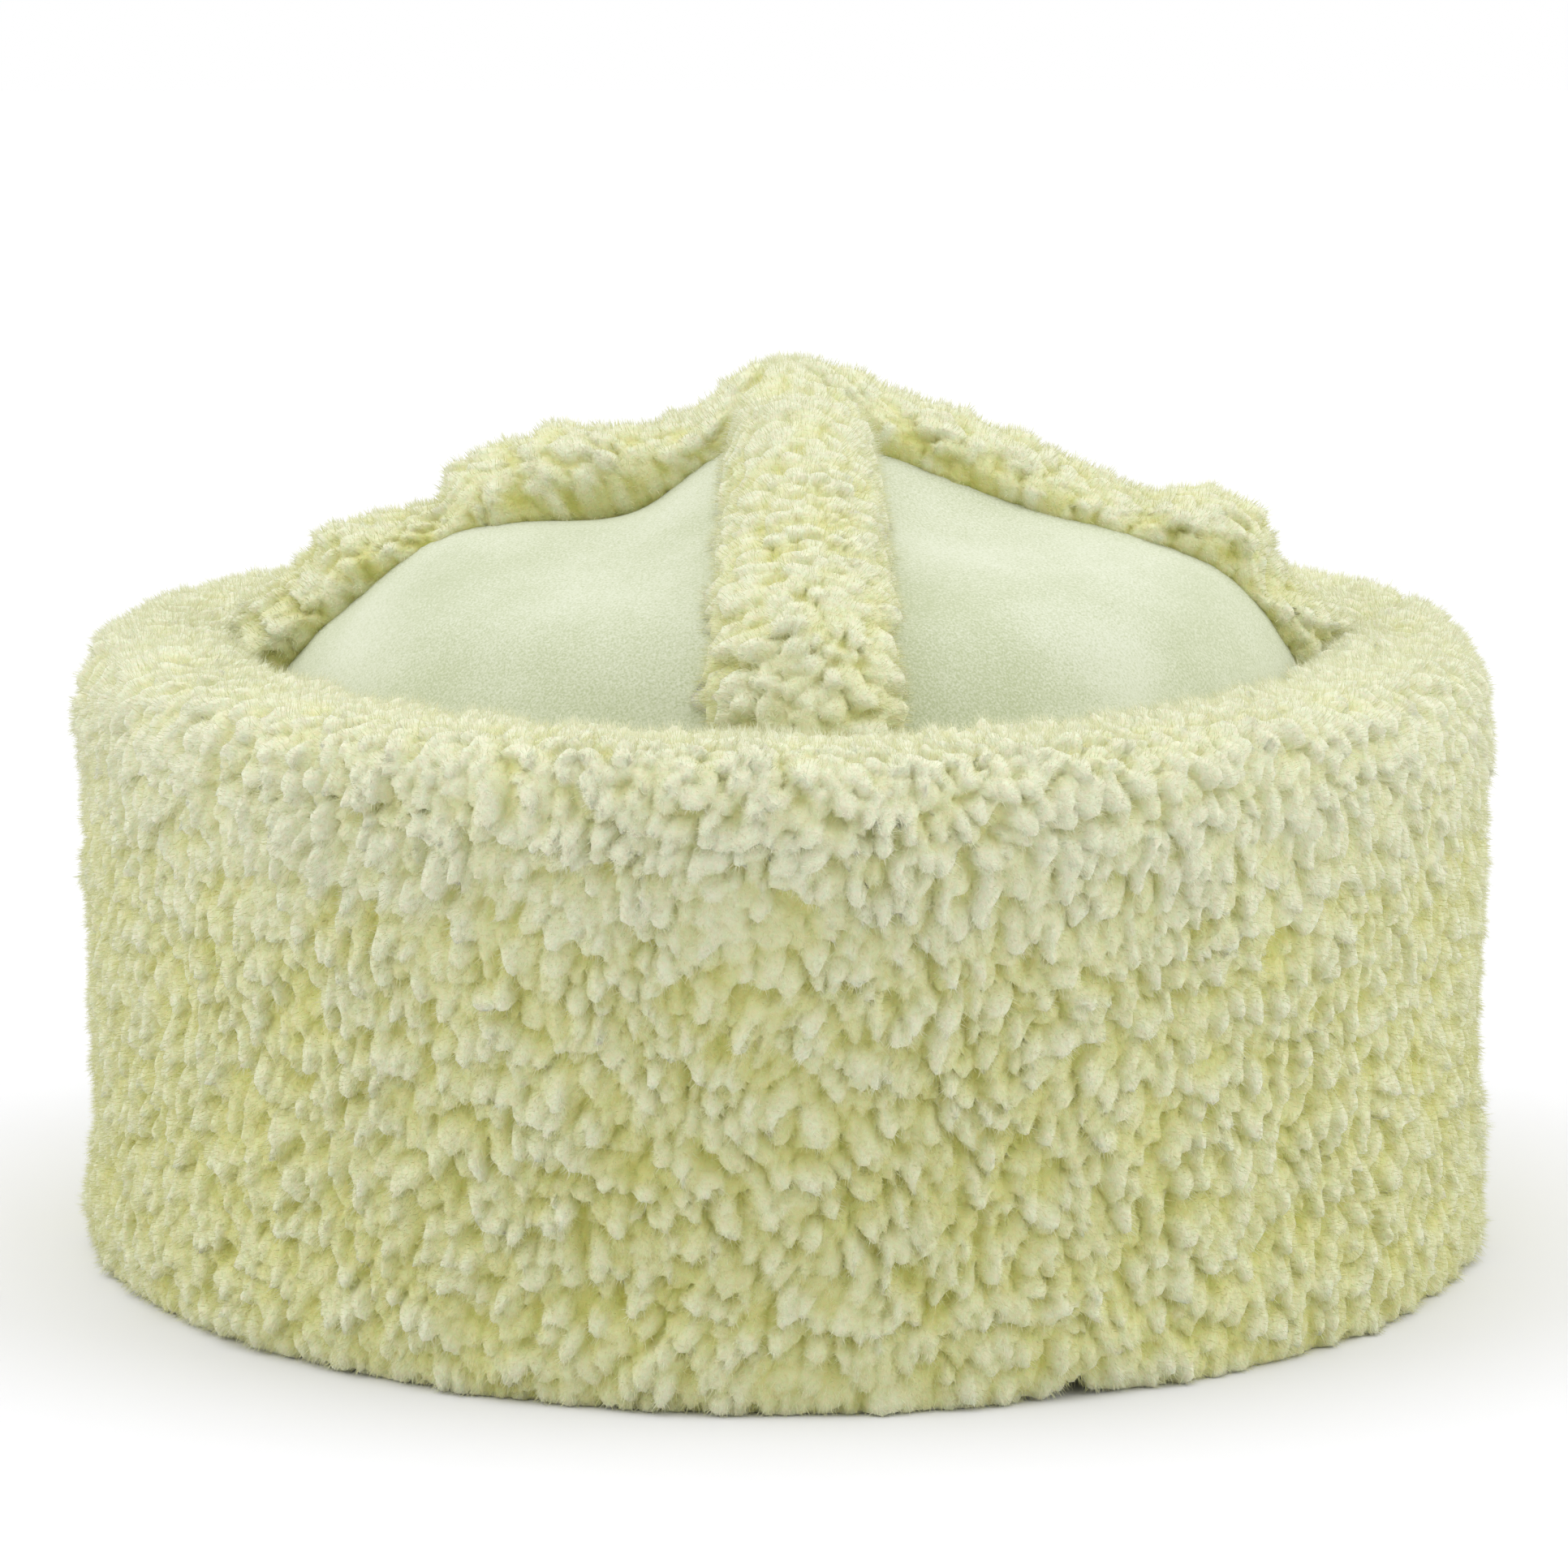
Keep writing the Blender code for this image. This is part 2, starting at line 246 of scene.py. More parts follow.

# Colours of the wool from painted shade in its depths, olive-yellow, to its own pale cream-lime at the
# tips and where light is painted, and of the suede's nap from dark to light grain
WOOL_COLOURS_PAINTED_SHADE_TO_LIGHT = (
    # place in the ramp, colour
    (0.00, (0.530, 0.518, 0.110)),
    (0.35, (0.668, 0.655, 0.270)),
    (0.70, (0.748, 0.748, 0.468)),
    (1.00, (0.790, 0.792, 0.598)),
)
WOOL_FLECKS = ((0.35, (1.0, 0.95, 0.93)), (0.65, (0.94, 1.0, 0.96)))
SUEDE_COLOURS = (
    # place in the ramp, colour
    (0.38, (0.445, 0.490, 0.296)),
    (0.50, (0.552, 0.587, 0.416)),
    (0.62, (0.632, 0.662, 0.516)),
)

# Studio
FLOOR_REACH = 2.0
FLOOR_COLOUR = (0.80, 0.80, 0.83, 1.0)
LIGHTS = (
    # name, degrees round the hat, degrees above the floor, degrees across, strength
    ("top_light", 90.0, 80.0, 80.0, 1.14),
    ("left_light", 184.0, 24.0, 60.0, 1.22),
    ("right_light", -4.0, 20.0, 60.0, 1.42),
)
ROOM_LIGHT = 0.34
ROOM_LIGHT_FROM_ABOVE = 0.58

# Camera, fitted to the photo's outline
CAMERA_TARGET = Vector((-0.0003, 0.0, 0.0806))
CAMERA_DISTANCE = 1.340
CAMERA_PITCH = 11.07
CAMERA_LENS = 173.0


# Shapes

class Outline:
    """A smooth line through points in a plane, read by its length share from 0 to 1."""

    def __init__(self, corners):
        corners = [Vector(corner) for corner in corners]
        dense = []
        steps = 16
        for i in range(len(corners) - 1):
            before = corners[max(i - 1, 0)]
            start, end = corners[i], corners[i + 1]
            after = corners[min(i + 2, len(corners) - 1)]
            for k in range(steps):
                t = k / steps
                bend = 2 * before - 5 * start + 4 * end - after
                twist = 3 * start - before - 3 * end + after
                dense.append(start + 0.5 * ((end - before) * t + bend * t**2 + twist * t**3))
        dense.append(corners[-1])
        self.points = np.array([tuple(point) for point in dense])
        step_lengths = np.hypot(*np.diff(self.points, axis=0).T)
        self.shares = np.concatenate([[0.0], np.cumsum(step_lengths)])
        self.length = float(self.shares[-1])
        self.shares /= self.length

    def at(self, share):
        """The point at a share of the length."""
        return (
            float(np.interp(share, self.shares, self.points[:, 0])),
            float(np.interp(share, self.shares, self.points[:, 1])),
        )

    def way(self, share):
        """The unit direction along the line at a share of the length."""
        step = 0.004
        ahead = Vector(self.at(min(share + step, 1.0)))
        behind = Vector(self.at(max(share - step, 0.0)))
        return (ahead - behind).normalized()


def plan(radius, azimuth, height):
    """A point at a radius and azimuth on the oval plan of the hat."""
    return Vector((radius * math.cos(azimuth), radius * PLAN_RATIO * math.sin(azimuth), height))


def radial(azimuth):
    """The level direction outwards at an azimuth."""
    return Vector((math.cos(azimuth), math.sin(azimuth), 0.0))


def around(azimuth):
    """The level direction along the girth at an azimuth."""
    return Vector((-math.sin(azimuth), math.cos(azimuth), 0.0))


def between(table, column, at):
    """A table's column at a place between its rows, which are in order of their first column."""
    for low, high in zip(table, table[1:]):
        if at <= high[0]:
            share = (at - low[0]) / (high[0] - low[0])
            eased = share * share * (3 - 2 * share)
            return low[column] + (high[column] - low[column]) * eased
    return table[-1][column]


CROWN = Outline([(radius * CROWN_RADIUS, height * CROWN_RISE) for radius, height, _ in CROWN_SECTIONS])
BAND = Outline(
    [(BAND_INNER_RADIUS + out * BAND_THICKNESS, up * BAND_HEIGHT) for out, up in BAND_SECTIONS]
)


def dent(azimuth, radius_share):
    """How deep the crown is dented at a place, in metres."""
    depth = 0.0
    for at_azimuth, at_radius, share, azimuth_spread, radius_spread in CROWN_DENTS:
        turn = (math.degrees(azimuth) - at_azimuth + 180) % 360 - 180
        away = (turn / azimuth_spread) ** 2 + ((radius_share - at_radius) / radius_spread) ** 2
        depth += share * CROWN_RISE * math.exp(-away)
    return depth


def crown_point(share, azimuth, inwards=0.0, nearest=TIP_RADIUS):
    """A point of the crown, moved inwards by a distance along the profile's own normal."""
    radius, height = CROWN.at(share)
    way = CROWN.way(share)
    radius_share = radius / CROWN_RADIUS
    flatness = between(CROWN_SECTIONS, 2, radius_share) * abs(math.sin(2 * azimuth))
    inwards += dent(azimuth, radius_share)
    out, up = -way.y, way.x
    placed = radius * (1 - flatness) - inwards * out
    return plan(max(placed, nearest), azimuth, SHOULDER_HEIGHT + height - inwards * up)


def band_waved(radius, height, azimuth):
    """Radius and height of the band's outline at an azimuth, with the slow waves of a soft band."""
    out = (radius - BAND_INNER_RADIUS) / BAND_THICKNESS
    up = height / BAND_HEIGHT
    for waves, phase, up_share, out_share in BAND_WAVES:
        swing = math.sin(waves * azimuth + math.radians(phase))
        radius += swing * out_share * BAND_THICKNESS * out * up
        height += swing * up_share * BAND_HEIGHT * out * up
    return radius, height


def hem_lift(azimuth, height):
    """How far the hem stands off the floor at an azimuth, fading out up the band."""
    lift = 0.0
    for at, spread, rise in HEM_LIFTS:
        turn = (math.degrees(azimuth) - at + 180) % 360 - 180
        lift += rise * math.exp(-((turn / spread) ** 2))
    return lift * max(0.0, 1 - height / (0.2 * BAND_HEIGHT))


def band_root(share, azimuth, depth):
    """A point where the band's wool is rooted, at a depth under its outline."""
    radius, height = band_waved(*BAND.at(share), azimuth)
    core_radius = BAND_INNER_RADIUS + BAND_THICKNESS / 2
    core_height = min(height, BAND_HEIGHT - BAND_THICKNESS / 2)
    off = Vector((radius - core_radius, height - core_height))
    off *= max(0.0, 1 - depth / off.length)
    place = plan(core_radius + off.x, azimuth, core_height + off.y)
    place.z += hem_lift(azimuth, place.z)
    return place


# Meshes

def new_object(name, mesh):
    """An object for a mesh, linked into the scene."""
    made = bpy.data.objects.new(name, mesh)
    bpy.context.scene.collection.objects.link(made)
    return made


def mesh_of(name, points, faces):
    """A mesh from points and faces, shaded smooth."""
    mesh = bpy.data.meshes.new(name)
    mesh.from_pydata([tuple(point) for point in points], [], faces)
    mesh.update()
    mesh.shade_smooth()
    return mesh


def grid_faces(rows, columns, closed=False, start=0):
    """Quads of a grid of points, wrapped round its columns if it is closed."""
    faces = []
    for i in range(rows - 1):
        for j in range(columns if closed else columns - 1):
            k = (j + 1) % columns
            faces.append(
                (start + i * columns + j, start + i * columns + k,
                 start + (i + 1) * columns + k, start + (i + 1) * columns + j)
            )
    return faces


def set_floats(mesh, name, values):
    """A number at each point of a mesh."""
    mesh.attributes.new(name, "FLOAT", "POINT").data.foreach_set("value", np.array(values, np.float32))


def set_vectors(mesh, name, values):
    """A vector at each point of a mesh."""
    flat = np.array([tuple(value) for value in values], np.float32).ravel()
    mesh.attributes.new(name, "FLOAT_VECTOR", "POINT").data.foreach_set("vector", flat)


# Finishes

def new_material(name):
    """A material, with its node tree and its shader."""
    material = bpy.data.materials.new(name)
    material.use_nodes = True
    tree = material.node_tree
    shader = tree.nodes["Principled BSDF"]
    return material, tree, shader


def add_node(tree, kind, inputs=None, **settings):
    """A node with its settings, and its inputs set or wired by name or number."""
    node = tree.nodes.new(kind)
    for key, value in settings.items():
        setattr(node, key, value)
    for key, value in (inputs or {}).items():
        if isinstance(value, bpy.types.NodeSocket):
            tree.links.new(value, node.inputs[key])
        else:
            node.inputs[key].default_value = value
    return node


def maths(tree, operation, *values):
    """One sum of up to three values."""
    return add_node(tree, "ShaderNodeMath", dict(enumerate(values)), operation=operation).outputs[0]


def vector_maths(tree, operation, a, b):
    """One sum of two vectors, or of a vector and the number that scales it."""
    other = "Scale" if operation == "SCALE" else 1
    return add_node(tree, "ShaderNodeVectorMath", {0: a, other: b}, operation=operation).outputs[0]


def ramp(tree, fac, stops):
    """A colour ramp through (place, colour) stops."""
    node = add_node(tree, "ShaderNodeValToRGB", {"Fac": fac})
    elements = node.color_ramp.elements
    while len(elements) < len(stops):
        elements.new(0.5)
    for element, (place, colour) in zip(elements, stops):
        element.position = place
        element.color = (*colour, 1.0)
    return node.outputs["Color"]


def wool_material():
    """Lamb's wool, pale cream-lime, with painted shade in olive-yellow in the depths between locks,
    painted light from the skin, and fine fibres.
    """
    material, tree, shader = new_material("wool")
    place = add_node(tree, "ShaderNodeTexCoord").outputs["Object"]
    tip = add_node(tree, "ShaderNodeAttribute", attribute_name="tip").outputs["Fac"]
    tone = add_node(tree, "ShaderNodeAttribute", attribute_name="tone").outputs["Fac"]
    reach = add_node(tree, "ShaderNodeAttribute", attribute_name="reach").outputs["Fac"]
    patch = add_node(tree, "ShaderNodeTexNoise", {"Vector": place, "Scale": 110.0, "Detail": 4.0})
    drift = maths(tree, "MULTIPLY_ADD", patch.outputs["Fac"], 0.30, -0.15)
    # Painted light: the skin's painted light makes the colour lighter on the top of the hat and darker
    # down the band's side, and paints shade along the trims' edges.
    painted_light = add_node(tree, "ShaderNodeAttribute", attribute_name="painted_light").outputs["Fac"]
    lifted = maths(tree, "MULTIPLY_ADD", reach, 0.15, drift)
    toned = maths(tree, "MULTIPLY_ADD", tone, 0.16, lifted)
    shift = maths(tree, "MULTIPLY_ADD", painted_light, 0.30, toned)
    # Painted shade: places low on their lock take the ramp's darker olive-yellow, places at its tip the
    # pale cream-lime.
    level = maths(tree, "MULTIPLY_ADD", tip, 0.80, shift)
    colour = ramp(tree, level, WOOL_COLOURS_PAINTED_SHADE_TO_LIGHT)
    fleck = add_node(tree, "ShaderNodeTexNoise", {"Vector": place, "Scale": 1300.0, "Detail": 2.0})
    tint = ramp(tree, fleck.outputs["Fac"], WOOL_FLECKS)
    tinted = add_node(
        tree, "ShaderNodeMix", {"Factor": 1.0, 6: colour, 7: tint}, data_type="RGBA", blend_type="MULTIPLY"
    )
    tree.links.new(tinted.outputs[2], shader.inputs["Base Color"])
    curl = add_node(tree, "ShaderNodeTexNoise", {"Vector": place, "Scale": 620.0, "Detail": 2.0})
    fine = add_node(tree, "ShaderNodeTexNoise", {"Vector": place, "Scale": 2600.0, "Detail": 2.0})
    height = maths(tree, "MULTIPLY_ADD", fine.outputs["Fac"], 0.35, curl.outputs["Fac"])
    bump = add_node(tree, "ShaderNodeBump", {"Height": height, "Strength": 0.55, "Distance": 0.0009})
    tree.links.new(bump.outputs["Normal"], shader.inputs["Normal"])
    shader.inputs["Roughness"].default_value = 0.95
    shader.inputs["Specular IOR Level"].default_value = 0.10
    shader.inputs["Sheen Weight"].default_value = 0.55
    shader.inputs["Sheen Roughness"].default_value = 0.5
    return material


def suede_material():
    """Pale mint-lime suede with a short, faintly mottled nap."""
    material, tree, shader = new_material("suede")
    place = add_node(tree, "ShaderNodeTexCoord").outputs["Object"]
    broad = add_node(tree, "ShaderNodeTexNoise", {"Vector": place, "Scale": 38.0, "Detail": 3.0})
    grain = add_node(
        tree, "ShaderNodeTexNoise", {"Vector": place, "Scale": 2400.0, "Detail": 2.0, "Roughness": 0.6}
    )
    mottle = maths(tree, "MULTIPLY", broad.outputs["Fac"], 0.35)
    level = maths(tree, "MULTIPLY_ADD", grain.outputs["Fac"], 0.65, mottle)
    tree.links.new(ramp(tree, level, SUEDE_COLOURS), shader.inputs["Base Color"])
    bump = add_node(tree, "ShaderNodeBump", {"Height": level, "Strength": 0.5, "Distance": 0.0003})
    tree.links.new(bump.outputs["Normal"], shader.inputs["Normal"])
    shader.inputs["Roughness"].default_value = 0.95
    shader.inputs["Specular IOR Level"].default_value = 0.12
    shader.inputs["Sheen Weight"].default_value = 0.30
    shader.inputs["Sheen Roughness"].default_value = 0.6
    return material


# Wool

def fibre_shape():
    """One loose fibre, standing on the origin: a narrow blade, facing along Y."""
    half = FIBRE_WIDTH / 2
    mesh = mesh_of("fibre", [(-half, 0.0, 0.0), (half, 0.0, 0.0), (0.0, 0.0, FIBRE_LENGTH)], [(0, 1, 2)])
    set_floats(mesh, "reach", [0.0, 0.0, 1.0])
    return bpy.data.objects.new("fibre", mesh)


def random_value(tree, low, high, seed, kind="FLOAT"):
    """A random number for each point or instance."""
    node = add_node(tree, "FunctionNodeRandomValue", data_type=kind)
    places = {"FLOAT_VECTOR": (0, 1, 0), "FLOAT": (2, 3, 1), "INT": (4, 5, 2)}[kind]
    node.inputs[places[0]].default_value = low
    node.inputs[places[1]].default_value = high
    node.inputs["Seed"].default_value = seed
    return node.outputs[places[2]]


def named(tree, name, kind="FLOAT"):
    """An attribute of the skin that the wool grows on."""
    return add_node(tree, "GeometryNodeInputNamedAttribute", {"Name": name}, data_type=kind).outputs[0]


def wool_tree():
    """Geometry nodes that raise a skin into merged locks of wool, with loose fibres on them."""
    tree = bpy.data.node_groups.new("Wool", "GeometryNodeTree")
    for name, kind, value in (
        ("Skin", "NodeSocketGeometry", None),
        ("Fibre", "NodeSocketObject", None),
        ("Lock rise", "NodeSocketFloat", LOCK_RISE),
        ("Fibres per square metre", "NodeSocketFloat", FIBRES_PER_SQUARE_METRE),
        ("Seed", "NodeSocketInt", 1),
        ("Finish", "NodeSocketMaterial", None),
    ):
        socket = tree.interface.new_socket(name, in_out="INPUT", socket_type=kind)
        if value is not None:
            socket.default_value = value
    tree.interface.new_socket("Wool", in_out="OUTPUT", socket_type="NodeSocketGeometry")
    given = add_node(tree, "NodeGroupInput").outputs
    locks = raise_locks(tree, given)
    fibres = grow_fibres(tree, given, locks)
    joined = add_node(tree, "GeometryNodeJoinGeometry")
    tree.links.new(fibres, joined.inputs[0])
    tree.links.new(locks, joined.inputs[0])
    finished = add_node(
        tree, "GeometryNodeSetMaterial", {"Geometry": joined.outputs[0], "Material": given["Finish"]}
    )
    add_node(tree, "NodeGroupOutput", {0: finished.outputs[0]})
    return tree


def stored(tree, geometry, name, value, kind):
    """The geometry with a value stored at its points by name."""
    node = add_node(
        tree,
        "GeometryNodeStoreNamedAttribute",
        {"Geometry": geometry, "Name": name, "Value": value},
        data_type=kind,
        domain="POINT",
    )
    return node.outputs[0]


def turned_to(tree, way, face_way):
    """The rotation whose Z is along a way and whose Y faces another as nearly as it can."""
    stood = add_node(tree, "FunctionNodeAlignRotationToVector", {"Vector": way}, axis="Z")
    faced = add_node(
        tree,
        "FunctionNodeAlignRotationToVector",
        {"Rotation": stood.outputs[0], "Vector": face_way},
        axis="Y",
        pivot_axis="Z",
    )
    return faced.outputs[0]


def spun(tree, rotation, spread, seed):
    """The rotation, turned at random about its own Z by up to a spread in radians."""
    angles = random_value(tree, (0.0, 0.0, -spread), (0.0, 0.0, spread), seed, "FLOAT_VECTOR")
    turn = add_node(tree, "FunctionNodeEulerToRotation", {0: angles})
    node = add_node(
        tree,
        "FunctionNodeRotateRotation",
        {"Rotation": rotation, "Rotate By": turn.outputs[0]},
        rotation_space="LOCAL",
    )
    return node.outputs[0]


def domes(tree, spot, size):
    """Rounded domes that merge where they meet, as heights from 0 to 1.

    Also gives a number for each dome, and how far down the pattern a place is from its middle.
    """
    cells = add_node(
        tree,
        "ShaderNodeTexVoronoi",
        {"Vector": spot, "Scale": 1 / size, "Smoothness": DOME_BLEND},
        feature="SMOOTH_F1",
    )
    square = maths(tree, "POWER", cells.outputs["Distance"], 2.0)
    height = maths(tree, "MAXIMUM", maths(tree, "MULTIPLY_ADD", square, -DOME_STEEPNESS, 1.0), 0.0)
    number = add_node(tree, "ShaderNodeSeparateXYZ", {0: cells.outputs["Color"]}).outputs["X"]
    off = vector_maths(tree, "SUBTRACT", spot, cells.outputs["Position"])
    below = add_node(tree, "ShaderNodeSeparateXYZ", {0: off}).outputs["Z"]
    return maths(tree, "POWER", height, DOME_POWER), number, maths(tree, "DIVIDE", below, size)


def raise_locks(tree, given):
    """The skin raised into clumps of locks, which lean the way that the skin's attributes say."""
    fine = add_node(tree, "GeometryNodeSubdivideMesh", {"Mesh": given["Skin"], "Level": 1}).outputs[0]
    pattern = named(tree, "pattern", "FLOAT_VECTOR")
    waver = add_node(
        tree, "ShaderNodeTexNoise", {"Vector": pattern, "Scale": WARP_SCALE, "Detail": 1.0}
    ).outputs["Color"]
    centred = vector_maths(tree, "SUBTRACT", waver, (0.5, 0.5, 0.5))
    spot = vector_maths(tree, "ADD", pattern, vector_maths(tree, "SCALE", centred, WARP_REACH))
    lock, lock_number, below = domes(tree, spot, LOCK_WIDTH)
    clump, _, _ = domes(tree, spot, CLUMP_WIDTH)
    uneven = maths(tree, "MULTIPLY_ADD", lock_number, LOCK_UNEVENNESS, SHORTEST_LOCK)
    tipped_over = maths(tree, "MULTIPLY_ADD", below, TIP_OVERHANG, 1.0)
    lock_rise = maths(tree, "MULTIPLY", maths(tree, "MULTIPLY", lock, uneven), tipped_over)
    knobs = add_node(
        tree, "ShaderNodeTexNoise", {"Vector": pattern, "Scale": KNOB_SCALE, "Detail": 1.0}
    )
    rise = maths(tree, "MULTIPLY", lock_rise, given["Lock rise"])
    rise = maths(tree, "MULTIPLY_ADD", clump, CLUMP_RISE, rise)
    rise = maths(tree, "MULTIPLY_ADD", knobs.outputs["Fac"], KNOB_RISE, rise)
    rise = maths(tree, "MULTIPLY", rise, named(tree, "length"))
    lean = named(tree, "lean")
    upright = vector_maths(tree, "SCALE", named(tree, "out", "FLOAT_VECTOR"), maths(tree, "COSINE", lean))
    over = vector_maths(tree, "SCALE", named(tree, "comb", "FLOAT_VECTOR"), maths(tree, "SINE", lean))
    axis = vector_maths(tree, "ADD", upright, over)
    # How high a place stands on its lock and clump, from 0 to 1: the wool's finish paints shade into the
    # colour of the low places, and fibres grow more thickly on the high ones.
    tip = maths(tree, "MULTIPLY_ADD", clump, 0.15, maths(tree, "MULTIPLY", lock_rise, 0.75))
    grown = maths(tree, "MINIMUM", maths(tree, "MULTIPLY", named(tree, "length"), 3.0), 1.0)
    tip = maths(tree, "MULTIPLY", tip, grown)
    tipped = stored(tree, fine, "tip", tip, "FLOAT")
    toned = stored(tree, tipped, "tone", lock_number, "FLOAT")
    headed = stored(tree, toned, "grown", axis, "FLOAT_VECTOR")
    offset = vector_maths(tree, "SCALE", axis, rise)
    return add_node(tree, "GeometryNodeSetPosition", {"Geometry": headed, "Offset": offset}).outputs[0]


def grow_fibres(tree, given, locks):
    """Loose fibres on the upper part of each lock, lying along it and straying a little."""
    thick = maths(tree, "MULTIPLY", given["Fibres per square metre"], named(tree, "tip"))
    roots = add_node(
        tree,
        "GeometryNodeDistributePointsOnFaces",
        {"Mesh": locks, "Density": thick, "Seed": maths(tree, "ADD", given["Seed"], 7)},
        distribute_method="RANDOM",
    )
    along = vector_maths(tree, "ADD", named(tree, "grown", "FLOAT_VECTOR"), roots.outputs["Normal"])
    stray = random_value(tree, (-FIBRE_STRAY,) * 3, (FIBRE_STRAY,) * 3, 16, "FLOAT_VECTOR")
    way = vector_maths(tree, "ADD", along, stray)
    rotation = spun(tree, turned_to(tree, way, roots.outputs["Normal"]), FIBRE_SPIN, 17)
    fibre = add_node(tree, "GeometryNodeObjectInfo", {"Object": given["Fibre"], "As Instance": True})
    tone = random_value(tree, *FIBRE_TONES, 19)
    toned = stored(tree, roots.outputs["Points"], "tone", tone, "FLOAT")
    sown = add_node(
        tree,
        "GeometryNodeInstanceOnPoints",
        {
            "Points": toned,
            "Instance": fibre.outputs["Geometry"],
            "Rotation": rotation,
            "Scale": random_value(tree, *FIBRE_SIZES, 18),
        },
    )
    return add_node(tree, "GeometryNodeRealizeInstances", {"Geometry": sown.outputs[0]}).outputs[0]


def grow(name, skin, tree, settings):
    """A plain mesh object of the wool that the tree grows on a skin mesh."""
    bed = new_object("bed", skin)
    modifier = bed.modifiers.new("Wool", "NODES")
    modifier.node_group = tree
    sockets = {item.name: item.identifier for item in tree.interface.items_tree if item.in_out == "INPUT"}
    for key, value in settings.items():
        modifier[sockets[key]] = value
    bpy.context.view_layer.update()
    graph = bpy.context.evaluated_depsgraph_get()
    mesh = bpy.data.meshes.new_from_object(bed.evaluated_get(graph), depsgraph=graph)
    bed.modifiers.remove(modifier)
    bpy.data.objects.remove(bed)
    mesh.name = name
    places = np.empty(len(mesh.vertices) * 3, np.float32)
    mesh.vertices.foreach_get("co", places)
    places[2::3] = np.maximum(places[2::3], FLOOR_CLEARANCE)
    mesh.vertices.foreach_set("co", places)
    mesh.update()
    return new_object(name, mesh)


def swirl(spot, size, seed):
    """A smooth random number about -1 to 1 over the wool."""
    return noise.noise(spot / size + Vector((seed * 7.1, seed * 3.3, seed * 5.7))) * 1.6


def wool_lay(place, across, along):
    """How the wool lies at a place of a sheet: its pattern's coordinates, and its slant sideways.

    Across and along are distances over the sheet, and place gives the point of space for a pair.
    """
    step = 0.001
    here = DRIFT_REACH * swirl(place(across, along), DRIFT_SIZE, 1)
    beside = DRIFT_REACH * swirl(place(across + step, along), DRIFT_SIZE, 1)
    below = DRIFT_REACH * swirl(place(across, along + step), DRIFT_SIZE, 1)
    slant = -2 * (below - here) / (step + beside - here)
    pushed = along + PUSH_REACH * swirl(place(across, along), PUSH_SIZE, 2)
    pattern = place(across + here, pushed)
    return Vector((pattern.x, pattern.y, pattern.z * LOCK_STRETCH)), max(-2.0, min(2.0, slant))


def on_band(across, along):
    """A point on a plain drum as wide as the band, for the pattern of its wool."""
    radius = BAND_INNER_RADIUS + BAND_THICKNESS
    return radial(across / radius) * radius + UP * along


def new_skin():
    """Lists for the points of a sheet of skin, and for how its wool lies."""
    return {"point": [], "lean": [], "length": [], "painted_light": [], "comb": [], "out": [], "pattern": []}


def add_root(skin, point, out, comb, pattern, lean, length, painted_light):
    """One point of a skin, with how its wool lies. Lean is in degrees."""
    skin["point"].append(point)
    skin["out"].append(out)
    skin["comb"].append(comb)
    skin["pattern"].append(pattern)
    skin["lean"].append(math.radians(lean))
    skin["length"].append(length)
    skin["painted_light"].append(painted_light)


def band_skin(first, last):
    """The surface that the band's wool is rooted in between two columns, closed round the band."""
    rows = round(BAND.length / SKIN_PITCH)
    columns = last - first + 1
    turns = [2 * math.pi * column / BAND_COLUMNS for column in range(first, last + 1)]
    skin = new_skin()
    for row in range(rows):
        share = row / (rows - 1)
        way = BAND.way(share)
        # The painted light for the wool's colour is read from the table with how the wool lies.
        fall, lean, length, painted_light, root = (between(BAND_WOOL, column, share) for column in range(1, 6))
        for azimuth in turns:
            across = azimuth * (BAND_INNER_RADIUS + BAND_THICKNESS)
            pattern, slant = wool_lay(on_band, across, share * BAND.length)
            down = radial(azimuth) * way.x + UP * way.y
            place = band_root(share, azimuth, root * BAND_ROOT_DEPTH)
            out = radial(azimuth) * -way.y + UP * way.x
            comb = (down * fall + around(azimuth) * slant).normalized()
            leaning = lean + 12 * swirl(place, 0.015, 3)
            long = length * (1 + 0.15 * swirl(place, 0.012, 4))
            add_root(skin, place, out, comb, pattern, leaning, long, painted_light)
    for out_share, up in BAND_HIDDEN:
        for azimuth in turns:
            radius = BAND_INNER_RADIUS + out_share * BAND_THICKNESS
            place = plan(radius, azimuth, up * BAND_HEIGHT)
            place.z += hem_lift(azimuth, place.z)
            add_root(skin, place, -UP, radial(azimuth), on_band(azimuth, up), 0.0, 0.0, 2.0)
    for values in skin.values():
        values += values[:columns]
    return skin_mesh("band_skin", skin, rows + len(BAND_HIDDEN) + 1, columns)


def skin_mesh(name, skin, rows, columns, closed=False):
    """A sheet of skin from its rows and columns of points, with what is known of the wool at each."""
    faces = [tuple(reversed(face)) for face in grid_faces(rows, columns, closed)]
    mesh = mesh_of(name, skin["point"], faces)
    for key in ("lean", "length", "painted_light"):
        set_floats(mesh, key, skin[key])
    for key in ("comb", "out", "pattern"):
        set_vectors(mesh, key, skin[key])
    return mesh


def crown_share_at(radius_share):
    """How far down the crown's profile a radius is reached, as a share of its length."""
    radii = CROWN.points[:, 0] / CROWN_RADIUS
    return float(np.interp(radius_share, radii, CROWN.shares))


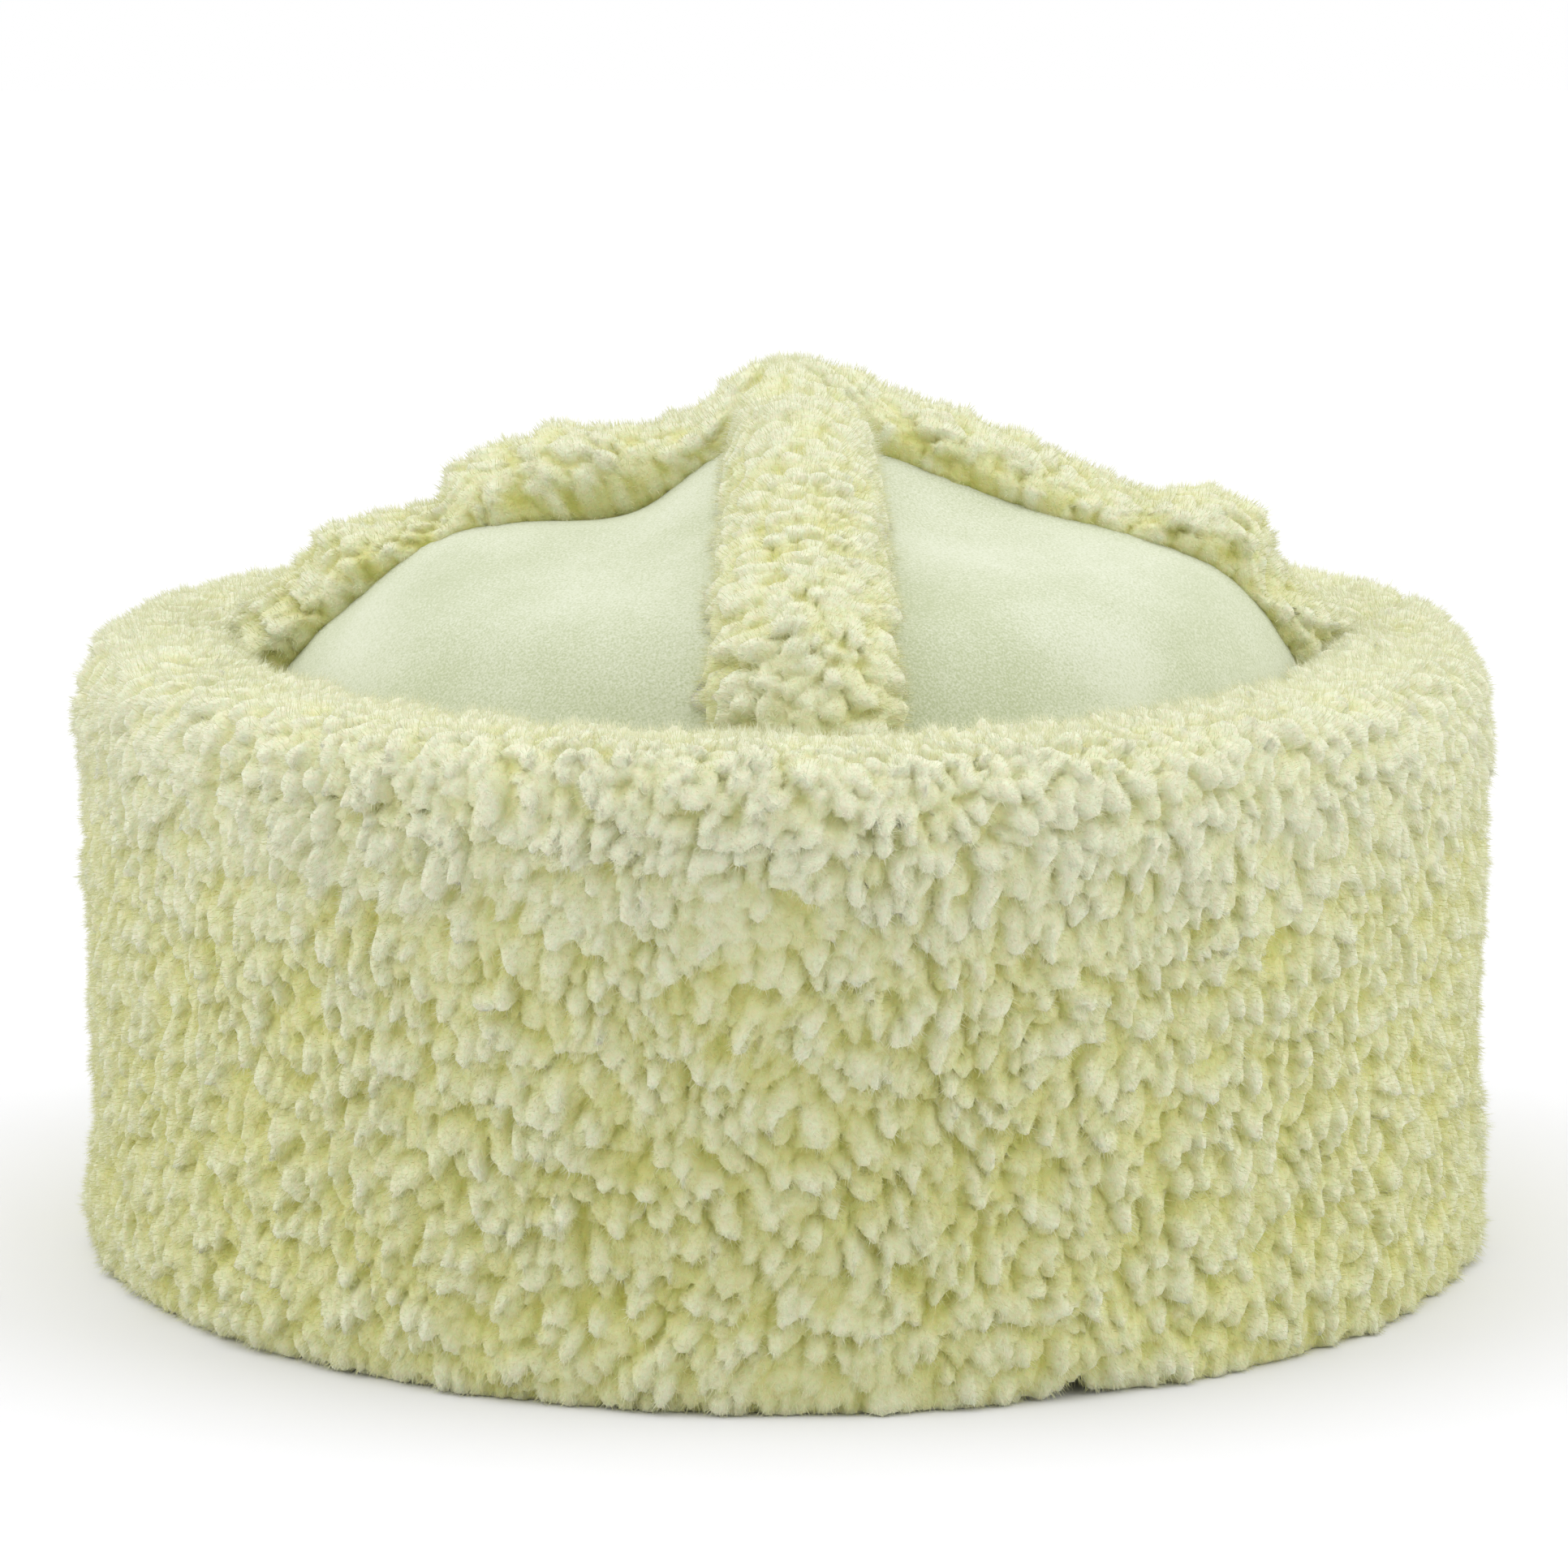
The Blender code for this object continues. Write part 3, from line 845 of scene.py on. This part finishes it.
def trim_skin(side, seam, pile_column, painted_edge_shade, shift):
    """The half-round surface that a trim's wool is rooted in, closed under the trim."""
    rows, columns = 60, 27
    skin = new_skin()
    end = crown_share_at(TRIM_END_SHARE)
    for row in range(rows):
        share = end * row / (rows - 1)
        at = share * CROWN.length / TRIM_LENGTH
        # The wool is longer and lies flatter over the last part of the way, where it meets the band.
        near_end = max(0.0, (at - 0.70) / 0.15)
        width = TRIM_WIDTH_AT_PEAK + (TRIM_WIDTH_AT_BAND - TRIM_WIDTH_AT_PEAK) * at
        half_width = width / 2 - TRIM_SIDE_WOOL
        pile = TRIM_PILE * between(TRIM_SECTIONS, pile_column, at)
        tilt = math.radians(between(TRIM_SECTIONS, 5, at))
        radius = max(CROWN.at(share)[0], 0.0002)
        spread = min(QUARTER_TURN / 2, half_width / radius)
        upright = min(1.0, at / 0.15)
        for column in range(columns):
            is_edge = column in (0, columns - 1)
            side_share = max(-1.0, min(1.0, 2 * (column - 1) / (columns - 3) - 1))
            turn = spread * side_share
            azimuth = math.radians(seam) + turn + shift * upright / max(radius, half_width)
            down = radial(azimuth) * math.cos(tilt) - UP * math.sin(tilt)
            out = radial(azimuth) * math.sin(tilt) + UP * math.cos(tilt)
            side_way = around(azimuth)
            reach = min(1.0, radius * abs(turn) / half_width)
            outer = math.copysign(reach, side_share)
            dome = 0.0 if is_edge else math.sqrt(max(0.0, 1 - reach**2))
            place = crown_point(share, azimuth, nearest=0.0002)
            place += out * (max(0.0, pile - TRIM_ROOT_DEPTH) * dome - TRIM_SINK)
            pattern = Vector((place.x, place.y, -place.z))
            comb = down * (1.0 - 0.5 * reach) + side_way * (1.5 * outer * reach + swirl(place, 0.012, 5))
            length = (0.42 + 0.45 * at) * (1 + 0.35 * swirl(place, 0.007, 6)) + 0.3 * near_end
            # Shorter wool along the edges beside the suede, where shade is painted into the colour.
            length *= 0.0 if is_edge else 1 - 0.6 * painted_edge_shade * reach**8
            standing = (out * (0.3 + dome) + side_way * outer).normalized()
            lean = (14 + 30 * reach**2 + 12 * at + 20 * near_end) * upright
            # Painted light: lighter near the peak and darker towards the band, with painted shade along
            # the edges beside the suede.
            painted_light = 1.1 - 0.4 * at - 1.4 * painted_edge_shade * reach**6
            add_root(skin, place, standing, comb.normalized(), pattern, lean, length, painted_light)
    return skin_mesh(f"trim_skin_{side}", skin, rows, columns, closed=True)


# Pieces

def add_gore(side, first_seam, suede):
    """One suede gore, from the peak over the shoulder and down inside the band to the hem."""
    rows, columns = 64, 44
    wall_rows = 8
    outside, inside = [], []
    for row in range(rows + wall_rows):
        share = min(row / (rows - 1), 1.0)
        radius = max(CROWN.at(share)[0], TIP_RADIUS)
        margin = math.asin(SEAM_GAP / radius)
        wall = max(0.0, (row - rows + 1) / wall_rows)
        for column in range(columns):
            turn = QUARTER_TURN * column / (columns - 1)
            azimuth = math.radians(first_seam) + min(max(turn, margin), QUARTER_TURN - margin)
            outer = crown_point(share, azimuth)
            inner = crown_point(share, azimuth, SUEDE_THICKNESS)
            outer.z *= 1 - wall
            inner.z *= 1 - wall
            outside.append(outer)
            inside.append(inner)
    count = len(outside)
    total = rows + wall_rows
    faces = [tuple(reversed(f)) for f in grid_faces(total, columns)]
    faces += grid_faces(total, columns, start=count)
    edge = list(range(columns))
    edge += [i * columns + columns - 1 for i in range(1, total)]
    edge += [(total - 1) * columns + j for j in range(columns - 2, -1, -1)]
    edge += [i * columns for i in range(total - 2, 0, -1)]
    for a, b in zip(edge, edge[1:] + edge[:1]):
        faces.append((a, b, b + count, a + count))
    mesh = mesh_of(f"suede_gore_{side}", outside + inside, faces)
    mesh.set_sharp_from_angle(angle=math.radians(50))
    mesh.materials.append(suede)
    piece = new_object(f"suede_gore_{side}", mesh)
    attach(piece, "root")
    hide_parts(f"crown_gore_{side}")


def add_stage():
    """A pale floor and soft studio light."""
    far = FLOOR_REACH
    corners = [(-far, -far, 0), (far, -far, 0), (far, far, 0), (-far, far, 0)]
    floor = new_object("floor", mesh_of("floor", corners, [(0, 1, 2, 3)]))
    material, _, shader = new_material("floor")
    shader.inputs["Base Color"].default_value = FLOOR_COLOUR
    shader.inputs["Roughness"].default_value = 1.0
    shader.inputs["Specular IOR Level"].default_value = 0.0
    floor.data.materials.append(material)
    bpy.context.scene.world = studio_world()
    for name, azimuth, height, spread, strength in LIGHTS:
        light = bpy.data.lights.new(name, "SUN")
        light.angle = math.radians(spread)
        light.energy = strength
        lamp = bpy.data.objects.new(name, light)
        way = radial(math.radians(azimuth)) * math.cos(math.radians(height))
        way += UP * math.sin(math.radians(height))
        lamp.rotation_euler = way.to_track_quat("Z", "Y").to_euler()
        bpy.context.scene.collection.objects.link(lamp)
    bpy.context.scene.view_settings.view_transform = "Standard"


def studio_world():
    """A white room that is brighter overhead than at the sides, and pure white to the camera."""
    world = bpy.data.worlds.new("studio")
    world.use_nodes = True
    tree = world.node_tree
    way = add_node(tree, "ShaderNodeTexCoord").outputs["Generated"]
    upwards = add_node(tree, "ShaderNodeSeparateXYZ", {0: way}).outputs["Z"]
    overhead = maths(tree, "MAXIMUM", upwards, 0.0)
    light = maths(tree, "MULTIPLY_ADD", overhead, ROOM_LIGHT_FROM_ABOVE, ROOM_LIGHT)
    seen = add_node(tree, "ShaderNodeLightPath").outputs["Is Camera Ray"]
    strength = maths(tree, "MAXIMUM", seen, light)
    tree.links.new(strength, tree.nodes["Background"].inputs["Strength"])
    tree.nodes["Background"].inputs["Color"].default_value = (1.0, 1.0, 1.0, 1.0)
    return world


def add_camera():
    """The photo's camera: a long lens a little above the hat."""
    pitch = math.radians(CAMERA_PITCH)
    data = bpy.data.cameras.new("camera")
    data.lens = CAMERA_LENS
    data.sensor_width = 36.0
    camera = bpy.data.objects.new("camera", data)
    camera.location = CAMERA_TARGET + CAMERA_DISTANCE * Vector((0.0, -math.cos(pitch), math.sin(pitch)))
    camera.rotation_euler = (QUARTER_TURN - pitch, 0.0, 0.0)
    bpy.context.scene.collection.objects.link(camera)
    bpy.context.scene.camera = camera


def add_wool(finish):
    """The band's and the trims' wool."""
    tree = wool_tree()
    fibre = fibre_shape()
    common = {
        "Fibre": fibre,
        "Finish": finish,
        "Lock rise": LOCK_RISE,
        "Fibres per square metre": FIBRES_PER_SQUARE_METRE,
    }
    width = BAND_COLUMNS // len(BAND_SECTORS)
    for number, side in enumerate(BAND_SECTORS):
        skin = band_skin(number * width, (number + 1) * width)
        piece = grow(f"band_wool_{side}", skin, tree, {**common, "Seed": 3 + number})
        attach(piece, "root")
        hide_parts("band")
    for number, (side, seam, painted_edge_shade, shift) in enumerate(TRIMS):
        skin = trim_skin(side, seam, 1 + number, painted_edge_shade, shift)
        piece = grow(f"trim_wool_{side}", skin, tree, {**common, "Seed": 20 + number})
        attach(piece, "root")
        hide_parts(f"seam_trim_{side}")
    bpy.data.objects.remove(fibre)


add_stage()
add_camera()
suede = suede_material()
wool = wool_material()
for gore_side, gore_seam in GORES:
    add_gore(gore_side, gore_seam, suede)
add_wool(wool)
